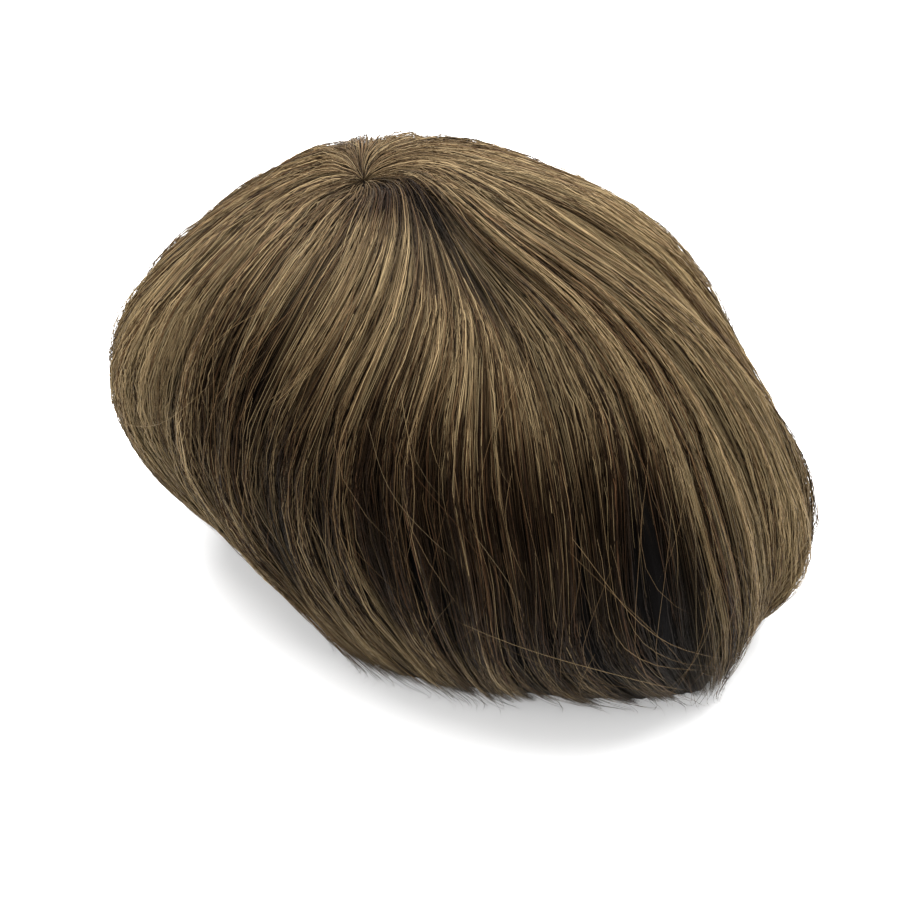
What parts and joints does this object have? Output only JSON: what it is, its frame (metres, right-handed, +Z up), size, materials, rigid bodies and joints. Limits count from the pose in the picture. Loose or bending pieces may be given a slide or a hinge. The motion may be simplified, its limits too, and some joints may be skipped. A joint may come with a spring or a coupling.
{
  "type": "toupee hairpiece",
  "caption": "Full-cap toupee of straight hair that fans out from a crown whorl, over a thin domed base, open underneath.",
  "frame": {"origin": "middle of the footprint's box, on the surface that the hair tips stand on", "axes": "+Z up, -Y to the front hairline, +X to the wearer's left"},
  "size_m": [0.232, 0.3038, 0.1856],
  "materials": {
    "hair": "straight brown hair, satin along the strands",
    "base": "fine skin-toned net, matte"
  },
  "bodies": {
    "root": {"base_cap": "base", "crown_swirl": "hair", "front_hair": "hair", "left_temple_hair": "hair", "left_side_hair": "hair", "back_hair": "hair", "right_side_hair": "hair", "right_temple_hair": "hair"}
  },
  "joints": []
}
